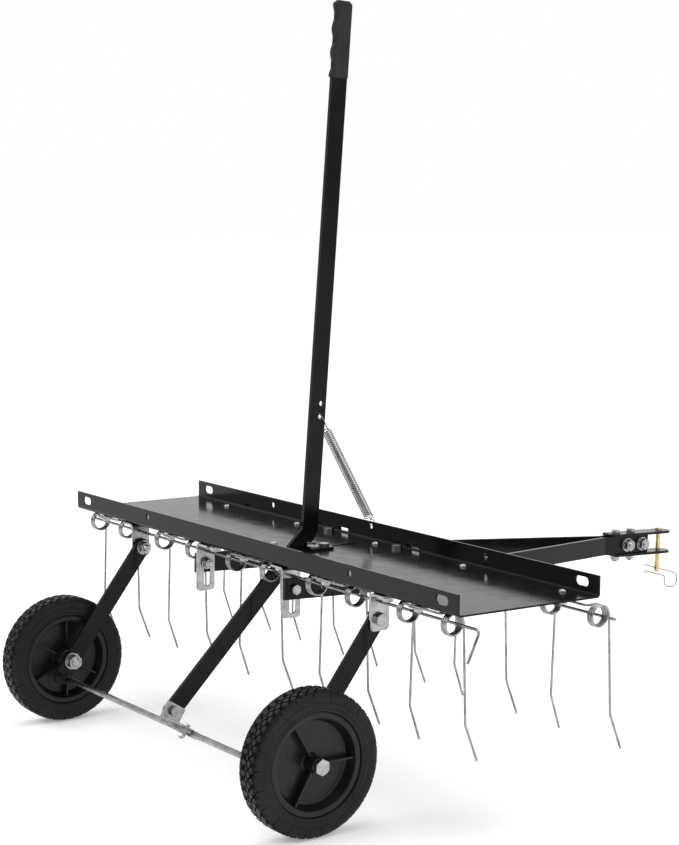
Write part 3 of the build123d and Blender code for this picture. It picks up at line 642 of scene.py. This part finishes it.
# ============================================================ rims
RIB_FOOT = 1 * MM              # ribs start inside the web
RIB_REACH = 56.5 * MM


def add_rib(shape, centre, outward, turn, inner, height, width):
    """Thin upright rib from the hub to the flange ring, tapered upwards, its top falling to 13 mm."""
    direction = Y * cos(turn) + outward.cross(Y) * sin(turn)
    side = outward.cross(direction)
    corners = []
    for radius, top in ((inner, height), (RIB_REACH, 13 * MM)):
        for sign in (-1, 1):
            for level, share in ((RIB_FOOT, 0.62), (top, 0.42)):
                place = centre + direction * radius + outward * level
                corners.append(shape.verts.new(place + side * sign * width * share))
    a, b, c, d, e, f, g, h = corners
    for face in ((a, b, f, e), (c, d, h, g), (b, d, h, f), (a, b, d, c), (e, f, h, g), (a, c, g, e)):
        shape.faces.new(face)


def rim_mesh(name, centre, outward):
    """Moulded rim: rounded flange ring, deep dish, hub boss and ribs on both faces."""
    shape = bmesh.new()
    outer_hub = [(6.05, 23), (9.2, 23), (10.2, 22.4), (10.6, 21.5), (11.6, 3.6), (13, 2.2), (16, 2)]
    dish = [
        (50, 2), (52.5, 2.6), (54, 4.2), (57.3, 14.2), (58.3, 16.2), (60.2, 17), (63.8, 17),
        (65.4, 16.4), (66, 15),
    ]
    inner_hub = [(19, -2), (17.6, -2.6), (17, -4), (16.6, -23.6), (15.9, -24.3), (6.05, -24.3)]
    far_dish = [(radius, -along) for radius, along in reversed(dish)]
    profile = outer_hub + dish + far_dish + inner_hub + outer_hub[:1]
    profile = [(radius * MM, along * MM) for radius, along in profile]
    add_lathe(shape, centre, outward, profile, steps=120, start=Y)
    for k in range(3):
        add_rib(shape, centre, outward, radians(120 * k), 10 * MM, 13.5 * MM, 3 * MM)
    for k in range(6):
        add_rib(shape, centre, outward * -1, radians(30 + 60 * k), 15 * MM, 14 * MM, 2.6 * MM)
    return to_mesh(name, shape)


for name, outward in (("left", X * -1), ("right", X)):
    hub = Vector(JOINTS[f"{name}_wheel_spin"]["pos_m"])
    tyre = tyre_mesh(f"{name}_tyre", hub, outward)
    rim = rim_mesh(f"{name}_rim", hub, outward)
    finish_piece(f"{name}_tyre_moulded", tyre, f"{name}_tyre", smooth_angle=40)
    finish_piece(f"{name}_rim_moulded", rim, f"{name}_rim", smooth_angle=30)


# ============================================================ grip
LEAN = radians(4.1)            # the upper part of the lever leans forward
LEVER_UP = Vector((0, sin(LEAN), cos(LEAN)))
LEVER_FRONT = Vector((0, cos(LEAN), -sin(LEAN)))
LEVER_BEND = TRAY + Vector((18, -10, 28)) * MM
GRIP_FOOT = LEVER_BEND + LEVER_UP * 630 * MM
GRIP_LENGTH = 105.5 * MM
GRIP_FRONT = 14 * MM           # from the middle of the lever
GRIP_REAR = 12 * MM
GRIP_HALF = 4.6 * MM
SWELL_DEPTH = 3.6 * MM
SWELL_PITCH = 33 * MM
FIRST_VALLEY = 17.5 * MM       # from the foot of the grip


def squared(value):
    """Sine or cosine pushed outwards, so that a circle becomes a rounded rectangle."""
    return copysign(abs(value) ** 0.42, value)


def grip_mesh():
    """Closed sleeve with a straight front, finger swells behind and faint ribs along its sides."""
    rings = 140
    sides = 56
    shape = bmesh.new()
    grid = []
    for i in range(rings + 1):
        along = GRIP_LENGTH * i / rings
        swell = SWELL_DEPTH * (0.5 - 0.5 * cos(tau * (along - FIRST_VALLEY) / SWELL_PITCH))
        close = 0.72 + 0.28 * smoothstep(0, 5 * MM, GRIP_LENGTH - along)
        foot = 0.94 + 0.06 * smoothstep(0, 2 * MM, along)
        front_edge = GRIP_FRONT * close
        rear_edge = GRIP_FRONT * (1 - close) - GRIP_REAR - swell
        middle = GRIP_FOOT + LEVER_UP * along + LEVER_FRONT * (front_edge + rear_edge) / 2
        half_wide = (front_edge - rear_edge) / 2 * foot
        half_thick = GRIP_HALF * close * foot
        has_ribs = 8 * MM < along < GRIP_LENGTH - 8 * MM
        ring = []
        for k in range(sides):
            angle = tau * k / sides
            forward = half_wide * squared(cos(angle))
            sideways = half_thick * squared(sin(angle))
            if has_ribs and abs(forward) < 8 * MM:
                rib = 0.18 * MM * (0.5 + 0.5 * cos(tau * forward / (2.4 * MM)))
                sideways -= copysign(rib, sin(angle))
            ring.append(shape.verts.new(middle + LEVER_FRONT * forward + X * sideways))
        grid.append(ring)
    bridge_all(shape, grid)
    shape.faces.new(grid[0])
    shape.faces.new(grid[-1])
    return to_mesh("grip", shape)


finish_piece("grip_moulded", grip_mesh(), "grip", smooth_angle=60)


# ============================================================ lift spring
SPRING_HOLE = TRAY + Vector((18, 6.4, 187.9)) * MM         # in the lever
SPRING_RING = TRAY + Vector((-1, 110.75, 26.3)) * MM       # round the edge of the front flange
SPRING_COIL = 6.2 * MM
SPRING_TURNS = 46
SPRING_WIRE = 0.8 * MM
RING_RADIUS = 4.9 * MM


def spring_points():
    """Close coils between an open hook in the lever and a ring round the flange edge."""
    pull = (SPRING_RING - SPRING_HOLE).normalized()
    side = (X - pull * X.dot(pull)).normalized()
    other = pull.cross(side)
    coil_start = 24 * MM
    coil_end = (SPRING_RING - SPRING_HOLE).length - 10 * MM
    points = []
    for k in range(13):
        angle = radians(-150 + 20 * k)
        points.append(SPRING_HOLE + (side * sin(angle) - pull * cos(angle)) * SPRING_COIL)
    points.append(SPRING_HOLE + side * SPRING_COIL + pull * 8 * MM)
    points.append(SPRING_HOLE + side * SPRING_COIL + pull * (coil_start - 4 * MM))
    turn_steps = 14
    steps = SPRING_TURNS * turn_steps
    for k in range(steps + 1):
        angle = tau * k / turn_steps
        along = coil_start + (coil_end - coil_start) * k / steps
        around = side * cos(angle) + other * sin(angle)
        points.append(SPRING_HOLE + pull * along + around * SPRING_COIL)
    points.append(SPRING_RING - pull * (RING_RADIUS + 2.5 * MM) + side * 1.5 * MM)
    for k in range(17):
        angle = tau * 0.93 * k / 16
        around = X.cross(pull) * sin(angle) - pull * cos(angle)
        points.append(SPRING_RING + around * RING_RADIUS)
    return points


shape = bmesh.new()
add_tube(shape, spring_points(), SPRING_WIRE, sides=8)
spring = new_piece("lift_spring_wire", to_mesh("lift_spring", shape), "lift_spring")
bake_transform(spring)


# ============================================================ what still shows of the CAD
for node, thing in frame["nodes"].items():
    thing.data.materials.clear()
    thing.data.materials.append(FINISH[SLOT_OF[node]])


# ============================================================ camera
AZIMUTH = radians(55.5)
ELEVATION = radians(6.55)
ROLL = radians(0.37)
CAMERA_PLACE = Vector((2.31499, -1.75708, 0.78962))


def add_camera():
    """Long lens from the rear right, a little above the tray."""
    back = Vector((sin(AZIMUTH) * cos(ELEVATION), -cos(AZIMUTH) * cos(ELEVATION), sin(ELEVATION)))
    right = Vector((cos(AZIMUTH), sin(AZIMUTH), 0))
    up = back.cross(right)
    rolled_right = right * cos(ROLL) + up * sin(ROLL)
    rolled_up = up * cos(ROLL) - right * sin(ROLL)
    lens = bpy.data.cameras.new("camera")
    lens.sensor_fit = "HORIZONTAL"
    lens.sensor_width = 36
    lens.lens = 106.65
    lens.clip_end = 100
    camera = bpy.data.objects.new("camera", lens)
    axes = Matrix((rolled_right, rolled_up, back)).transposed()
    camera.matrix_world = Matrix.Translation(CAMERA_PLACE) @ axes.to_4x4()
    bpy.context.scene.collection.objects.link(camera)
    bpy.context.scene.camera = camera


add_camera()


# ============================================================ floor and light
def add_floor():
    """Pale floor just below the wheels, faintly luminous so that it stays white."""
    bpy.ops.mesh.primitive_plane_add(size=60, location=(0, 0, -0.5 * MM))
    floor = bpy.context.object
    floor.name = "floor"
    paint, _, shader = new_material("floor_paint")
    shader.inputs["Base Color"].default_value = (0.90, 0.90, 0.90, 1)
    shader.inputs["Emission Color"].default_value = (1, 1, 1, 1)
    shader.inputs["Emission Strength"].default_value = 0.24
    shader.inputs["Roughness"].default_value = 0.75
    shader.inputs["Specular IOR Level"].default_value = 0.2
    floor.data.materials.append(paint)


def eased(sky, source, low, high):
    """Smooth 0 to 1 as a value goes from low to high."""
    node = sky.nodes.new("ShaderNodeMapRange")
    node.interpolation_type = "SMOOTHSTEP"
    node.inputs["From Min"].default_value = low
    node.inputs["From Max"].default_value = high
    sky.links.new(source, node.inputs["Value"])
    return node.outputs["Result"]


def add_studio():
    """Bright backdrop and ceiling, a dimmer room on the near side."""
    world = bpy.data.worlds.new("studio")
    world.use_nodes = True
    sky = world.node_tree
    background = sky.nodes["Background"]
    background.inputs["Color"].default_value = (1, 1, 1, 1)
    direction = sky.nodes.new("ShaderNodeTexCoord").outputs["Generated"]
    away = sky.nodes.new("ShaderNodeVectorMath")
    away.operation = "DOT_PRODUCT"
    away.inputs[1].default_value = (-sin(AZIMUTH), cos(AZIMUTH), 0)
    sky.links.new(direction, away.inputs[0])
    height = sky.nodes.new("ShaderNodeSeparateXYZ")
    sky.links.new(direction, height.inputs["Vector"])
    brighter = sky.nodes.new("ShaderNodeMath")
    brighter.operation = "MAXIMUM"
    sky.links.new(eased(sky, away.outputs["Value"], -0.25, 0.45), brighter.inputs[0])
    sky.links.new(eased(sky, height.outputs["Z"], 0.35, 0.85), brighter.inputs[1])
    level = sky.nodes.new("ShaderNodeMapRange")
    level.inputs["To Min"].default_value = 0.42
    level.inputs["To Max"].default_value = 1.0
    sky.links.new(brighter.outputs["Value"], level.inputs["Value"])
    sky.links.new(level.outputs["Result"], background.inputs["Strength"])
    bpy.context.scene.world = world
    bpy.context.scene.view_settings.view_transform = "Standard"


def soft_light(name, place, size, power):
    """Area light that looks at the middle of the object."""
    lamp = bpy.data.lights.new(name, "AREA")
    lamp.shape = "RECTANGLE"
    lamp.size, lamp.size_y = size
    lamp.energy = power
    thing = bpy.data.objects.new(name, lamp)
    thing.location = place
    thing.rotation_euler = (Vector(place) - Z * 0.3).to_track_quat("Z", "Y").to_euler()
    bpy.context.scene.collection.objects.link(thing)


add_floor()
add_studio()
soft_light("key", (-0.6, -3.4, 2.6), (2.0, 1.4), 38)
soft_light("fill", (3.6, 1.6, 2.0), (1.8, 1.4), 26)
soft_light("top", (0, 0.3, 4.2), (3.0, 3.0), 60)
